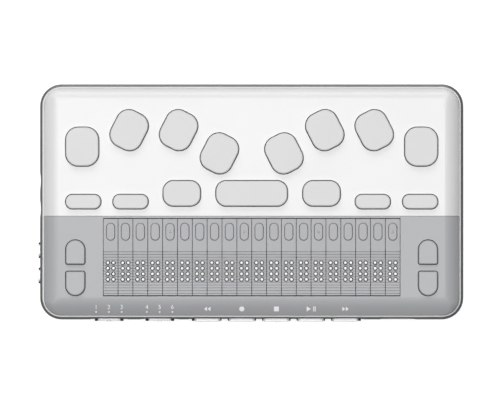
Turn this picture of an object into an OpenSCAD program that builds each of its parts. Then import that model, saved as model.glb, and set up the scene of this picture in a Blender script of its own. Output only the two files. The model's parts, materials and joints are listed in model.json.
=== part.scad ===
// Refreshable braille display with a braille keyboard, standing on its feet.
// The origin lies on the table under the middle of the side frame.
// +X points right, +Y to the rear and +Z up. All lengths are millimetres.

/* [Body] */
// Overall width over the side frame
body_w = 182.7; // [180:0.1:200]
// Overall depth over the side frame
body_d = 101.5; // [100:0.1:112]
// Height of the flat top above the table
body_h = 18.2; // [17.6:0.1:21]
// Plan corner radius of the side frame
body_corner = 9.3; // [8.6:0.1:11]
// Thickness of the two top covers
cover_t = 2; // [1.6:0.1:2.4]
// Thickness of the bottom cover
base_t = 1.8; // [1.4:0.1:2.2]
// Height of the parting line between bottom cover and side frame
parting_h = 5; // [4.6:0.1:5.4]
// Depth of the grey deck, from the front of the frame to the seam
deck_d = 44.65; // [44:0.05:46]
// Open seam between the white cover and the grey deck
seam_gap = 0.15; // [0.1:0.01:0.3]

/* [Curved edges] */
// Width of the curved edge on the left and right of the top
edge_side = 6.4; // [5:0.1:7]
// Width of the curved edge along the rear
edge_rear = 4.75; // [4:0.05:6]
// Width of the curved edge along the front
edge_front = 8; // [6:0.1:8.4]
// Height that the curved edges fall
edge_drop = 3.4; // [2.8:0.1:3.8]
// Slope at which the curved edges leave the flat top, in degrees
edge_kink = 3; // [2:1:12]
// Width of the curved edge round the underside
base_edge = 7; // [5:0.1:9]
// Height that the underside's curved edge rises
base_drop = 3; // [2.4:0.1:3.4]

/* [Side frame] */
// Wall thickness of the side frame
frame_t = 3; // [2.6:0.1:3.4]
// Radius of the frame's upper outer edge
shoulder_r = 1.15; // [0.8:0.05:1.3]
// Radius of the frame's lower outer edge
frame_foot_r = 0.8; // [0.4:0.1:1.2]
// Height of the frame's shoulder above the ledge that carries the covers
shoulder_h = 0.55; // [0.4:0.05:0.8]
// Height of the covers' plain vertical edge above that ledge
skirt_h = 1.8; // [1.4:0.1:2.2]
// Width of the bright trim ring
trim_w = 0.45; // [0.35:0.05:0.6]
// How far the trim ring stays below the top of the covers' vertical edge
trim_low = 0.5; // [0.3:0.05:0.8]

/* [Keys] */
// Width of a dot key
key_w = 14.1; // [13:0.1:14.6]
// Depth of a dot key
key_d = 16.6; // [15:0.1:17.2]
// Corner radius of a dot key
key_r = 5.4; // [4:0.1:6.4]
// Gap between a key and its opening
key_gap = 0.4; // [0.3:0.05:0.5]
// Radius of a key's upper edge
key_edge = 0.5; // [0.3:0.05:0.8]
// Height of the keys above the cover
key_proud = 1.8; // [0.8:0.1:2.2]
// Travel of the keys
key_travel = 1.2; // [0.8:0.1:1.4]
// Lean of the dot keys 1 to 6, in degrees
key_lean = 27; // [20:1:30]
// Distance of dot keys 1 and 4 from the middle
dot_1_x = 13.9; // [13.4:0.1:15]
// Distance of dot keys 2 and 5 from the middle
dot_2_x = 31.5; // [31:0.1:33]
// Distance of dot keys 3 and 6 from the middle
dot_3_x = 52.8; // [52:0.1:53.4]
// Distance of dot keys 1 and 4 behind the seam
dot_1_back = 27; // [26.4:0.1:28]
// Distance of dot keys 2, 3, 5 and 6 behind the seam
dot_2_back = 37; // [36:0.1:38]
// Distance of dot keys 7 and 8 behind the seam
dot_7_back = 29.9; // [28:0.1:32]
// Distance of dot keys 7 and 8 from the side of the body
outer_margin = 18.3; // [18:0.1:18.6]
// Width of the space key
space_w = 30.7; // [28:0.1:32]
// Width of the control and alt keys
thumb_w = 16; // [14:0.1:17]
// Depth of the space, control and alt keys
thumb_d = 10.8; // [9:0.1:11.4]
// Corner radius of the space, control and alt keys
thumb_r = 4.4; // [3:0.1:4.6]
// Distance of the control and alt keys from the middle
thumb_x = 30.1; // [29.4:0.1:31]
// Distance of the space, control and alt keys behind the seam
thumb_back = 9.75; // [9.4:0.05:10.2]
// Width of a function key
function_w = 15; // [13:0.1:16]
// Depth of a function key
function_d = 6; // [5:0.1:6.4]
// Corner radius of a function key
function_r = 2.8; // [2:0.1:2.9]
// Distance of the inner function keys from the middle
function_x = 52.2; // [51.6:0.1:53]
// Distance of the function keys behind the seam
function_back = 6.2; // [6:0.05:6.6]

/* [Braille line] */
// Number of braille cells
cell_count = 20; // [18:1:20]
// Distance from cell to cell
cell_pitch = 6.4; // [6.3:0.01:6.42]
// Gap between two cell caps
cell_gap = 0.28; // [0.15:0.01:0.35]
// Depth of the line of cell caps
line_d = 32.9; // [32.6:0.05:33.4]
// Distance of the cell caps in front of the seam
line_in = 1.25; // [1:0.05:1.6]
// Open gap between the cell caps and the front and rear of the deck's window
window_gap = 0.45; // [0.2:0.05:0.5]
// Distance from dot to dot in a cell
dot_pitch = 2.4; // [2.3:0.01:2.5]
// Distance of the rear dots in front of the line's rear edge
dot_in = 18.9; // [18.4:0.1:19.4]
// Diameter of a braille pin
pin_d = 1.2; // [1.1:0.02:1.44]
// Diameter of a pin's hole in the cell cap
pin_hole_d = 1.94; // [1.86:0.02:2.1]
// Height of a raised pin above the reading surface
pin_rise = 0.7; // [0.5:0.05:0.9]
// Depth of the hollow along the reading surface
hollow_h = 0.25; // [0.1:0.05:0.4]
// Width of the fine grooves along the reading surface
groove_w = 0.25; // [0.15:0.05:0.4]
// Depth of the fine grooves
groove_h = 0.2; // [0.1:0.05:0.3]
// Width of a cursor routing key
routing_w = 3.6; // [3:0.1:3.8]
// Depth of a cursor routing key
routing_d = 7.3; // [6:0.1:7.6]
// Gap between a routing key and its opening
routing_gap = 0.16; // [0.12:0.01:0.3]
// Height of a routing key above its cell cap
routing_proud = 0.3; // [0.2:0.05:0.5]
// Travel of a routing key
routing_travel = 0.5; // [0.3:0.05:0.6]
// Distance of the routing keys in front of the line's rear edge
routing_in = 5.5; // [5.2:0.1:5.8]
// Every so many routing keys one has a locating nib
nib_every = 5; // [2:1:10]

/* [Scroll keys] */
// Width of a scroll key
scroll_w = 8.1; // [7:0.1:8.6]
// Length of a scroll key
scroll_d = 10.3; // [9:0.1:10.6]
// Corner radius at a scroll key's straight end
scroll_r = 0.8; // [0.6:0.1:1.2]
// Gap between the two scroll keys of a pair
scroll_split = 3.2; // [2.8:0.1:4]
// Distance of the scroll keys from the ends of the line
scroll_out = 12; // [11:0.1:12.2]
// Distance of a pair's middle in front of the line's rear edge
scroll_in = 21.05; // [20.4:0.05:21.2]
// Height of the scroll keys above the deck
scroll_proud = 1.1; // [0.4:0.1:1.4]
// Travel of the scroll keys
scroll_travel = 1; // [0.6:0.1:1.2]

/* [Front and side controls] */
// Length of a media button
media_w = 11.1; // [9:0.1:11.6]
// Height of a media button
media_h = 3; // [2.4:0.1:3.2]
// Distance from media button to media button
media_pitch = 14.9; // [14.6:0.1:15.2]
// Distance of the middle media button to the right of the middle
media_x = 10.65; // [10:0.05:12]
// Distance of the lock switch to the left of the middle
lock_x = 61.6; // [61:0.1:63]
// Distance of the mode switch to the left of the middle
mode_x = 39.7; // [39:0.1:40.4]
// Length of a switch slider
slider_w = 10; // [8:0.1:10.4]
// Height of a switch slider
slider_h = 2.6; // [2.2:0.1:3]
// Travel of a switch slider to each side
slider_travel = 1; // [0.8:0.1:1.6]
// Length of a volume button
volume_w = 4.8; // [4:0.1:5.4]
// Height of a volume button
volume_h = 2.8; // [2.2:0.1:3.2]
// Distance of the volume up button in front of the middle
volume_up_y = 20.9; // [20:0.1:22]
// Distance of the volume down button in front of the middle
volume_down_y = 31.8; // [30:0.1:33]
// Height of the buttons and sliders over the frame
control_proud = 0.95; // [0.7:0.05:1.2]
// Radius of the buttons' and sliders' outer edges
control_edge = 0.4; // [0.2:0.05:0.6]
// Gap between a button and its opening
control_gap = 0.25; // [0.2:0.01:0.35]
// Travel of the media and volume buttons
button_travel = 0.5; // [0.3:0.05:0.6]
// Depth of the finger scoops in the frame
scoop_h = 0.45; // [0.3:0.05:0.6]
// Length of the ramps at the ends of a finger scoop
scoop_ramp = 1.8; // [1:0.1:2.4]

/* [Ports] */
// Bore of an audio jack
jack_bore_d = 3.6; // [3.5:0.05:3.7]
// Depth of an audio jack's bore
jack_depth = 14; // [13:0.1:14.4]
// Distance of the headphone jack behind the middle
headphone_y = 9.1; // [8.6:0.1:10]
// Distance of the microphone jack in front of the middle
microphone_y = 2.9; // [2:0.1:3.2]
// Diameter of the frame's opening for the nose of an audio jack
plug_d = 6.4; // [6:0.1:6.8]
// Width of the charging port's opening
port_w = 9.4; // [9:0.1:9.8]
// Height of the charging port's opening
port_h = 3.6; // [3.2:0.1:3.8]
// Distance of the charging port to the right of the middle
port_x = 68; // [66:0.5:70]
// Width of the memory card slot
card_w = 12; // [11.5:0.1:12.4]
// Height of the memory card slot
card_h = 1.4; // [1.2:0.1:1.8]
// Distance of the memory card slot to the right of the middle
card_x = 63.1; // [62.6:0.1:64]

/* [Inside] */
// Thickness of the main board
board_t = 1.2; // [1:0.1:1.4]
// Height of the dome switches on the board
dome_h = 0.5; // [0.3:0.05:0.6]
// Thickness of a piezo reed
reed_t = 0.45; // [0.3:0.05:0.6]
// Width of a piezo reed
reed_w = 2.3; // [1.8:0.1:2.4]
// Height from one layer of reeds to the next
reed_step = 1.4; // [1.2:0.05:1.45]
// Width of the battery pack
battery_w = 110; // [80:1:116]
// Depth of the battery pack
battery_d = 20; // [14:0.5:20]
// Height of the battery pack
battery_h = 6.6; // [5:0.1:7]
// Air between the battery pack and the braille cells
battery_gap = 1.1; // [0.8:0.1:2]
// Diameter of a case screw's shank
screw_d = 2; // [1.8:0.1:2.2]
// Diameter of a case screw's head
screw_head_d = 4; // [3.6:0.1:4.2]
// Diameter of a rubber foot
foot_d = 9; // [7:0.1:10]
// Height of the feet below the bottom cover
foot_proud = 1; // [0.6:0.1:1.4]
// Depth of the pockets that hold the feet
foot_pocket = 0.8; // [0.5:0.1:1]

/* [Hidden] */
$fn = 64;
// A length past the part, for cuts
far = 300;
// How far a cut runs past the face that it starts on
over = 1;
// How far a shape is sunk into the one that it is joined to, and the same for small shapes
sink = 0.5;
weld = 0.1;
// Radial play of a screw or a foot in its hole
loose = 0.05;
// Air between two fixed pieces that are fitted side by side
fit = 0.2;
// Air between a moving piece and what it never touches
clear = 0.3;
// Width of the lip that holds a key or button under its opening
lip = 0.8;
// Air left over a switch when its key is fully pressed
press_air = 0.1;

// How much higher the curved edges end at the plan corners
corner_lift = 0.3;

// Where the covers and the trim sit, counted in from the outside of the frame
trim_air = 0.05;
trim_inset = shoulder_r + trim_air;
cover_inset = trim_inset + trim_w + trim_air;

// Heights of the shells, from the top down
top_z = body_h;
under_z = top_z - cover_t;
edge_z = top_z - edge_drop;
ledge_z = edge_z - skirt_h;
shoulder_z = ledge_z + shoulder_h;
trim_z = edge_z - trim_low;
floor_z = foot_proud + base_t;
control_z = (parting_h + ledge_z) / 2;

// The bottom cover's rim, counted in from the frame, and the lip inside the frame
rim_inset = 0.7;
base_lip_h = 1.3;
base_lip_t = 1.1;
base_lip_z = parting_h + base_lip_h;
lip_inset = frame_t + fit / 2;

// Heights of the key stack
key_lip_t = 1.3;
key_lip_z = under_z - clear - key_lip_t;
board_z = key_lip_z - fit - press_air - key_travel - dome_h;
board_under_z = board_z - board_t;
plunger_r = 2;
dome_r = 2.2;
routing_plunger_r = 1.2;
routing_dome_r = 1.2;

// Places along Y
front_y = -body_d / 2;
rear_y = body_d / 2;
seam_y = front_y + deck_d;
line_rear_y = seam_y - line_in;
line_front_y = line_rear_y - line_d;
dot_y = line_rear_y - dot_in;
routing_y = line_rear_y - routing_in;
scroll_y = line_rear_y - scroll_in;

// Places along X
outer_x = body_w / 2 - outer_margin;
function_outer_x = outer_x + (key_w - function_w) / 2;
line_w = cell_count * cell_pitch;
scroll_x = line_w / 2 + scroll_out;

// Case screws with their bosses, counted in from the sides, the ends and the seam
boss_r = 2.4;
boss_z = base_lip_z;
boss_in = 7.15;
boss_rear = 8.75;
boss_behind = 26.1;
boss_before = 5.9;
boss_front = 7.75;
boss_x = body_w / 2 - boss_in;
boss_ys = [rear_y - boss_rear, seam_y + boss_behind, seam_y - boss_before, front_y + boss_front];
screw_head_t = 1.4;
screw_head_z = foot_proud + 2.2;
screw_short = 1;
hex_d = 1.9;
hex_h = 0.8;
thread_end_z = ledge_z - 0.4;

// Feet, counted in from the sides and the ends
foot_x = body_w / 2 - 17;
foot_y = body_d / 2 - 14;

// The main board, with a slot for the cells and posts under it
board_x = boss_x - boss_r - 2 * fit;
board_front_y = front_y + 4.15;
board_rear_y = rear_y - 4.75;
board_slot_y = dot_y + 6.2;
slot_side = 1.5;
post_r = 2;
post_xy = [
    [board_x - 5.4, front_y + boss_front],
    [board_x - 5.4, rear_y - 14.75],
    [line_w / 2 + 6, seam_y + 20.1]
];

// Switches and sockets under the board
switch_d = 3;
switch_h = 3.6;
switch_front_y = board_front_y + 1;
media_switch_w = 5;
slide_switch_w = 9;
volume_switch_w = 4;
socket_gap = 0.25;
socket_wall = 0.8;
jack_w = 5.2;
jack_x = -body_w / 2 + frame_t + socket_gap;
jack_neck_d = 4.8;
nose_in = 0.65;
nose_x = -body_w / 2 + nose_in;
port_d = 7.4;
card_d = 9;

// Buttons and sliders behind the frame, and their round corners
button_lip_y = frame_t + 0.15;
button_lip_t = 1;
media_r = 1.2;
volume_r = 1.1;
slider_r = 1;
stem_w = 2;
scoop_rim = 0.8;
scoop_side = 1;

// The battery pack, in front of the underside's curved edge
battery_rear_y = rear_y - rim_inset - base_edge - fit;
battery_front_y = battery_rear_y - battery_d;

// The braille cells below their caps
cap_h = 3.1;
cap_z = top_z - 0.1;
cap_under_z = cap_z - cap_h;
cap_leg_t = 0.8;
hollow_half = 9.2;
grooves_behind = 4;
grooves_before = 11;
routing_edge = 0.3;
guide_h = 2;
guide_gap = 0.25;
guide_margin = 1.4;
reed_z = board_under_z - 0.8;
reed_over = 0.9;
spine_t = 0.5;
spine_z = floor_z + 1.4;
clamp_d = 6;
reed_rear_y = battery_front_y - battery_gap - clamp_d;
cell_rib_t = 3;
cell_rib_y = 4;
dot_rows = 4;

// Dot keys: name, x, y, lean
DOT_KEYS = [
    ["dot_1_key", -dot_1_x, seam_y + dot_1_back, -key_lean],
    ["dot_2_key", -dot_2_x, seam_y + dot_2_back, -key_lean],
    ["dot_3_key", -dot_3_x, seam_y + dot_2_back, -key_lean],
    ["dot_4_key", dot_1_x, seam_y + dot_1_back, key_lean],
    ["dot_5_key", dot_2_x, seam_y + dot_2_back, key_lean],
    ["dot_6_key", dot_3_x, seam_y + dot_2_back, key_lean],
    ["dot_7_key", -outer_x, seam_y + dot_7_back, 0],
    ["dot_8_key", outer_x, seam_y + dot_7_back, 0]
];
// Thumb keys: name, x, width
THUMB_KEYS = [
    ["space_key", 0, space_w],
    ["control_key", -thumb_x, thumb_w],
    ["alt_key", thumb_x, thumb_w]
];
// Function keys: name, x
FUNCTION_KEYS = [
    ["function_key_1", -function_outer_x],
    ["function_key_2", -function_x],
    ["function_key_3", function_x],
    ["function_key_4", function_outer_x]
];
// Scroll keys: name, x, side of the pair
SCROLL_KEYS = [
    ["scroll_up_left", -scroll_x, 1],
    ["scroll_down_left", -scroll_x, -1],
    ["scroll_up_right", scroll_x, 1],
    ["scroll_down_right", scroll_x, -1]
];
// Media buttons: name, x
MEDIA_BUTTONS = [
    ["previous_button", media_x - 2 * media_pitch],
    ["record_button", media_x - media_pitch],
    ["stop_button", media_x],
    ["play_button", media_x + media_pitch],
    ["next_button", media_x + 2 * media_pitch]
];
// Slide switches: name, x
SWITCHES = [["lock_switch", -lock_x], ["mode_switch", -mode_x]];
// Volume buttons: name, y
VOLUME_BUTTONS = [
    ["volume_up_button", -volume_up_y],
    ["volume_down_button", -volume_down_y]
];
JACK_YS = [headphone_y, -microphone_y];
SHELLS = [
    "top_cover", "display_deck", "trim_ring", "side_frame", "bottom_cover",
    "cell_caps", "braille_pins", "cell_actuators",
    "main_board", "battery_pack", "case_screws", "rubber_feet"
];
function routing_name(i) = str("routing_key_", i < 10 ? "0" : "", i);
function names(list) = [for (entry = list) entry[0]];

WHITE = "#f3f3f3";
KEY_GREY = "#e0e0e0";
DECK_GREY = "#bdbfc2";
FRAME_GREY = "#6e7073";
BRIGHT = "#d4d6d8";

// Shapes that repeat

// Outline of a rectangle with round corners, on its middle
module round_rect(w, d, r) {
    square([w - 2 * r, d], center = true);
    square([w, d - 2 * r], center = true);
    for (x = [-1, 1], y = [-1, 1])
        translate([x * (w / 2 - r), y * (d / 2 - r)]) circle(r);
}

// Outline that is round at the far end and square at the near end, which lies on y = 0
module d_outline(w, length, r) {
    translate([0, length - w / 2]) circle(w / 2);
    translate([-w / 2, r]) square([w, length - w / 2 - r]);
    translate([r - w / 2, 0]) square([w - 2 * r, length - w / 2]);
    for (x = [-1, 1])
        translate([x * (w / 2 - r), r]) circle(r);
}

// Half section of a block with a round upper edge: r wide, h high, e the edge radius
module edge_section(r, h, e) {
    difference() {
        square([r, h]);
        translate([r - e, h - e]) corner_tool(e);
    }
}

// What a round corner of radius e takes off a square one
module corner_tool(e) {
    difference() {
        square(2 * e);
        circle(e);
    }
}

// A straight run of a section along Y, on its middle
module run(length) {
    rotate([90, 0, 0]) linear_extrude(length, center = true) children();
}

// A quarter turn of a section, from the +X side towards +Y
module quarter() {
    rotate_extrude(angle = 90) children();
}

// A section carried round a rectangle with round corners, with x counted from a corner's middle
module around(w, d, r) {
    flat_w = w - 2 * r;
    flat_d = d - 2 * r;
    for (s = [0, 180]) rotate([0, 0, s]) {
        translate([flat_w / 2, 0, 0]) run(flat_d) children();
        translate([flat_w / 2, flat_d / 2, 0]) quarter() children();
        translate([0, flat_d / 2, 0]) rotate([0, 0, 90]) run(flat_w) children();
        translate([-flat_w / 2, flat_d / 2, 0]) rotate([0, 0, 90]) quarter() children();
    }
}

// Block whose side follows a section that is r wide and h high, standing on z = 0
module block_around(w, d, r, h) {
    translate([r - w / 2, r - d / 2, 0]) cube([w - 2 * r, d - 2 * r, h]);
    around(w, d, r) children();
}

// Block with round plan corners and a round upper edge, standing on z = 0
module soft_block(w, d, h, r, e) {
    block_around(w, d, r, h) edge_section(r, h, e);
}

// Block on the outline of d_outline with a round upper edge, standing on z = 0
module soft_d_block(w, length, h, r, e) {
    bow_y = length - w / 2;
    side = bow_y - r;
    translate([0, bow_y, 0]) rotate_extrude(angle = 180) edge_section(w / 2, h, e);
    for (s = [0, 1]) mirror([s, 0, 0]) {
        translate([0, r + side / 2, 0]) run(side) edge_section(w / 2, h, e);
        translate([w / 2 - r, r, 0]) rotate([0, 0, -90]) quarter() edge_section(r, h, e);
    }
    translate([0, r, 0]) rotate([0, 0, -90]) run(w - 2 * r) edge_section(r, h, e);
}

// Flat plate on the frame's plan, taken in by inset
module plan(inset, z, h) {
    translate([0, 0, z]) linear_extrude(h)
        round_rect(body_w - 2 * inset, body_d - 2 * inset, body_corner - inset);
}

// Radius of the arc that leaves a flat at the kink angle and falls by drop over width
function arc_r(width, drop, kink) =
    width / (sin(2 * atan2(drop, width) - kink) - sin(kink));

// Area below a flat with an arc at each end: the flat runs from low to high at height top,
// and each arc is given by its radius. The skin takes it in all round.
module crown(low, high, low_r, high_r, kink, top, skin) {
    low_c = low + low_r * sin(kink);
    high_c = high - high_r * sin(kink);
    intersection() {
        translate([low - far, top - skin - far]) square([high - low + 2 * far, far]);
        union() {
            translate([low_c, -far]) square([high_c - low_c, 2 * far]);
            translate([low_c, top - low_r * cos(kink)]) circle(low_r - skin);
            translate([high_c, top - high_r * cos(kink)]) circle(high_r - skin);
        }
    }
}

// Area below a flat and the arc at its right end, where x runs from 0 to reach
module half_crown(reach, width, drop, top, skin) {
    r = arc_r(width, drop, edge_kink);
    arc_x = reach - width - r * sin(edge_kink);
    intersection() {
        translate([0, top - skin - far]) square([reach - skin, far]);
        union() {
            translate([arc_x - far, -far]) square([far, 2 * far]);
            translate([arc_x, top - r * cos(edge_kink)]) circle(r - skin);
        }
    }
}

// All of space but the four plan corners, which are rounded off by a half crown each:
// the first child is the section of the rear corners, the second that of the front corners
module corner_guard() {
    corner_x = body_w / 2 - body_corner;
    corner_y = body_d / 2 - body_corner;
    translate([-corner_x, -far, -far]) cube([2 * corner_x, 2 * far, 2 * far]);
    translate([-far, -corner_y, -far]) cube([2 * far, 2 * corner_y, 2 * far]);
    for (s = [0, 1]) mirror([s, 0, 0]) {
        translate([corner_x, corner_y, 0]) quarter() children(0);
        translate([corner_x, -corner_y, 0]) rotate([0, 0, -90]) quarter() children(1);
    }
}

// Curved edges on the left and right, and at the front and rear, taken in by skin
module side_crown(skin) {
    side = body_w / 2 - cover_inset - edge_side;
    r = arc_r(edge_side, edge_drop, edge_kink);
    run(far) crown(-side, side, r, r, edge_kink, top_z, skin);
}
module end_crown(skin) {
    front = front_y + cover_inset + edge_front;
    rear = rear_y - cover_inset - edge_rear;
    front_r = arc_r(edge_front, edge_drop, edge_kink);
    rear_r = arc_r(edge_rear, edge_drop, edge_kink);
    rotate([0, 0, 90]) run(far) crown(front, rear, front_r, rear_r, edge_kink, top_z, skin);
}

// The body of the covers with its curved edges, from the ledge up, taken in by skin
module crowned_block(skin) {
    corner = body_corner - cover_inset;
    intersection() {
        plan(cover_inset + skin, ledge_z, top_z - ledge_z);
        side_crown(skin);
        end_crown(skin);
        corner_guard() {
            half_crown(corner, edge_rear, edge_drop, top_z + corner_lift, skin);
            half_crown(corner, edge_side, edge_drop, top_z + corner_lift, skin);
        }
    }
}

// The part of space behind the plane y, or in front of it
module behind(y) {
    translate([-far / 2, y, -far / 2]) cube(far);
}
module in_front(y) {
    translate([-far / 2, y - far, -far / 2]) cube(far);
}

// Screw bosses under a cover, at two places along Y
module cover_bosses(ys) {
    for (x = [-boss_x, boss_x], y = ys)
        translate([x, y, boss_z]) cylinder(r = boss_r, h = under_z + sink - boss_z);
}
module cover_threads(ys) {
    for (x = [-boss_x, boss_x], y = ys)
        translate([x, y, boss_z - over])
            cylinder(d = screw_d + 2 * loose, h = thread_end_z - boss_z + over);
}

// Place of each kind of key, for the key itself, its opening and its switch
module at_dot_key(key) {
    translate([key[1], key[2], 0]) rotate([0, 0, key[3]]) children();
}
module at_thumb_key(key) {
    translate([key[1], seam_y + thumb_back, 0]) children();
}
module at_function_key(key) {
    translate([key[1], seam_y + function_back, 0]) children();
}
module at_scroll_key(key) {
    translate([key[1], scroll_y + key[2] * scroll_split / 2, 0])
        mirror([0, key[2] > 0 ? 0 : 1, 0]) children();
}
module at_cell(i) {
    translate([(i - (cell_count + 1) / 2) * cell_pitch, 0, 0]) children();
}

// Through hole of a key with round corners
module key_opening(w, d, r) {
    translate([0, 0, under_z - over]) linear_extrude(cover_t + 2 * over)
        round_rect(w + 2 * key_gap, d + 2 * key_gap, r + key_gap);
}

// A key cap with its holding lip and its plunger
module key(w, d, r) {
    translate([0, 0, key_lip_z])
        soft_block(w, d, top_z + key_proud - key_lip_z, r, key_edge);
    translate([0, 0, key_lip_z]) linear_extrude(key_lip_t)
        round_rect(w + 2 * lip, d + 2 * lip, r + lip);
    plunger(key_lip_z, board_z + dome_h + press_air + key_travel, plunger_r);
}

// A round plunger from a key's lip down to the height low
module plunger(lip_z, low, r) {
    translate([0, 0, low]) cylinder(r = r, h = lip_z - low + sink);
}

// Shells

module top_cover() color(WHITE) {
    ys = [boss_ys[0], boss_ys[1]];
    difference() {
        union() {
            intersection() {
                difference() {
                    crowned_block(0);
                    crowned_block(cover_t);
                }
                behind(seam_y + seam_gap / 2);
            }
            intersection() {
                cover_bosses(ys);
                union() {
                    crowned_block(cover_t / 2);
                    plan(frame_t + fit, boss_z, ledge_z - boss_z);
                }
            }
        }
        cover_threads(ys);
        for (k = DOT_KEYS) at_dot_key(k) key_opening(key_w, key_d, key_r);
        for (k = THUMB_KEYS) at_thumb_key(k) key_opening(k[2], thumb_d, thumb_r);
        for (k = FUNCTION_KEYS) at_function_key(k) key_opening(function_w, function_d, function_r);
    }
}

module display_deck() color(DECK_GREY) {
    ys = [boss_ys[2], boss_ys[3]];
    lap = 1.4;
    lap_t = 1.2;
    strip = line_in - fit;
    difference() {
        union() {
            intersection() {
                difference() {
                    crowned_block(0);
                    crowned_block(cover_t);
                }
                in_front(seam_y - seam_gap / 2);
            }
            intersection() {
                cover_bosses(ys);
                union() {
                    crowned_block(cover_t / 2);
                    plan(frame_t + fit, boss_z, ledge_z - boss_z);
                }
            }
            // Lap under the white cover, hung from the strip behind the cells
            translate([-line_w / 2, seam_y - strip, under_z - fit - lap_t])
                cube([line_w, strip + lap, lap_t]);
            translate([-line_w / 2, seam_y - strip, under_z - fit - lap_t])
                cube([line_w, strip - seam_gap, lap_t + fit + cover_t / 2]);
        }
        cover_threads(ys);
        translate([-line_w / 2 - fit / 2, line_front_y - window_gap, under_z - cover_t])
            cube([line_w + fit, line_d + 2 * window_gap, far]);
        for (k = SCROLL_KEYS) at_scroll_key(k)
            translate([0, -key_gap, under_z - over]) linear_extrude(cover_t + 2 * over)
                d_outline(scroll_w + 2 * key_gap, scroll_d + 2 * key_gap, scroll_r + key_gap);
    }
}

module trim_ring() color(BRIGHT) difference() {
    plan(trim_inset, ledge_z, trim_z - ledge_z);
    plan(trim_inset + trim_w, ledge_z - over, far);
}

// Section of the frame's wall, with x counted out from the middle of a plan corner
module frame_section() {
    difference() {
        union() {
            translate([body_corner - frame_t, parting_h]) square([frame_t, ledge_z - parting_h]);
            translate([body_corner - shoulder_r, parting_h])
                square([shoulder_r, shoulder_z - parting_h]);
        }
        translate([body_corner - shoulder_r, shoulder_z - shoulder_r]) corner_tool(shoulder_r);
        translate([body_corner - frame_foot_r, parting_h + frame_foot_r])
            mirror([0, 1]) corner_tool(frame_foot_r);
    }
}

// A flat finger scoop of the given length in the frame's front, with ramps at its ends.
// It reaches height / 2 below the buttons' middle and is open at the top.
module scoop(length, height) {
    low = control_z - height / 2;
    translate([0, 0, low]) linear_extrude(shoulder_z + over - low) polygon([
        [-length / 2 - scoop_ramp, -over],
        [-length / 2 - scoop_ramp, 0],
        [-length / 2, scoop_h],
        [length / 2, scoop_h],
        [length / 2 + scoop_ramp, 0],
        [length / 2 + scoop_ramp, -over]
    ]);
}

// A hole with round corners through the frame's front, w by h
module front_hole(w, h, r) {
    translate([0, -over, control_z]) rotate([-90, 0, 0])
        linear_extrude(frame_t + 2 * over) round_rect(w, h, r);
}

module side_frame() color(FRAME_GREY) difference() {
    scoop_z = media_h + 2 * control_gap + 2 * scoop_rim;
    media_row = 4 * media_pitch + media_w;
    slider_row = slider_w + 2 * slider_travel;
    around(body_w, body_d, body_corner) frame_section();
    translate([media_x, front_y, 0]) scoop(media_row + 2 * scoop_side, scoop_z);
    for (b = MEDIA_BUTTONS) translate([b[1], front_y, 0])
        front_hole(media_w + 2 * control_gap, media_h + 2 * control_gap, media_r + control_gap);
    for (s = SWITCHES) translate([s[1], front_y, 0]) {
        scoop(slider_row + scoop_side, scoop_z);
        front_hole(slider_row + 2 * control_gap, slider_h + 2 * control_gap, slider_r + control_gap);
    }
    translate([card_x, front_y, 0]) {
        scoop(card_w, scoop_z);
        front_hole(card_w, card_h, card_h / 2 - loose);
    }
    for (b = VOLUME_BUTTONS) translate([-body_w / 2, b[1], 0]) rotate([0, 0, -90])
        front_hole(volume_w + 2 * control_gap, volume_h + 2 * control_gap, volume_r + control_gap);
    for (y = JACK_YS) translate([-body_w / 2, y, control_z]) rotate([0, 90, 0]) {
        translate([0, 0, -over]) cylinder(d = plug_d, h = frame_t + 2 * over);
        translate([0, 0, -scoop_h])
            cylinder(d1 = plug_d + 4 * scoop_ramp, d2 = plug_d, h = 2.4 * scoop_h);
    }
    translate([port_x, rear_y, 0]) rotate([0, 0, 180])
        front_hole(port_w, port_h, port_h / 2 - loose);
}

// The bottom cover's bowl as a full block, taken in by skin
module bowl(skin) {
    r = arc_r(base_edge, base_drop, edge_kink);
    side = body_w / 2 - rim_inset - base_edge;
    end = body_d / 2 - rim_inset - base_edge;
    corner = body_corner - rim_inset;
    intersection() {
        plan(rim_inset + skin, foot_proud + skin, parting_h - foot_proud - skin);
        translate([0, 0, foot_proud]) mirror([0, 0, 1]) intersection() {
            run(far) crown(-side, side, r, r, edge_kink, 0, skin);
            rotate([0, 0, 90]) run(far) crown(-end, end, r, r, edge_kink, 0, skin);
            corner_guard() {
                half_crown(corner, base_edge, base_drop, corner_lift, skin);
                half_crown(corner, base_edge, base_drop, corner_lift, skin);
            }
        }
    }
}

module bottom_cover() color(FRAME_GREY) difference() {
    union() {
        difference() {
            bowl(0);
            bowl(base_t);
            plan(rim_inset + base_t, parting_h - sink, over);
        }
        // Lip that locates the side frame
        difference() {
            plan(lip_inset, floor_z - sink, base_lip_z - floor_z + sink);
            plan(lip_inset + base_lip_t, floor_z - over, far);
        }
        // Screw bosses, posts for the board and ribs under the cells
        for (x = [-boss_x, boss_x], y = boss_ys)
            translate([x, y, floor_z - sink]) cylinder(r = boss_r, h = boss_z - floor_z + sink);
        for (x = [-1, 1], p = post_xy)
            translate([x * p[0], p[1], floor_z - sink])
                cylinder(r = post_r, h = board_under_z - floor_z + sink);
        for (y = [dot_y - cell_rib_y, reed_rear_y + clamp_d / 2])
            translate([-line_w / 2, y - cell_rib_t / 2, floor_z - sink])
                cube([line_w, cell_rib_t, spine_z - floor_z + sink]);
    }
    for (x = [-boss_x, boss_x], y = boss_ys) translate([x, y, 0]) {
        cylinder(d = screw_d + 4 * loose, h = far);
        cylinder(d = screw_head_d + 4 * loose, h = screw_head_z);
    }
    for (x = [-foot_x, foot_x], y = [-foot_y, foot_y])
        translate([x, y, 0]) cylinder(d = foot_d + 4 * loose, h = foot_proud + foot_pocket);
}

// Braille line

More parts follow.
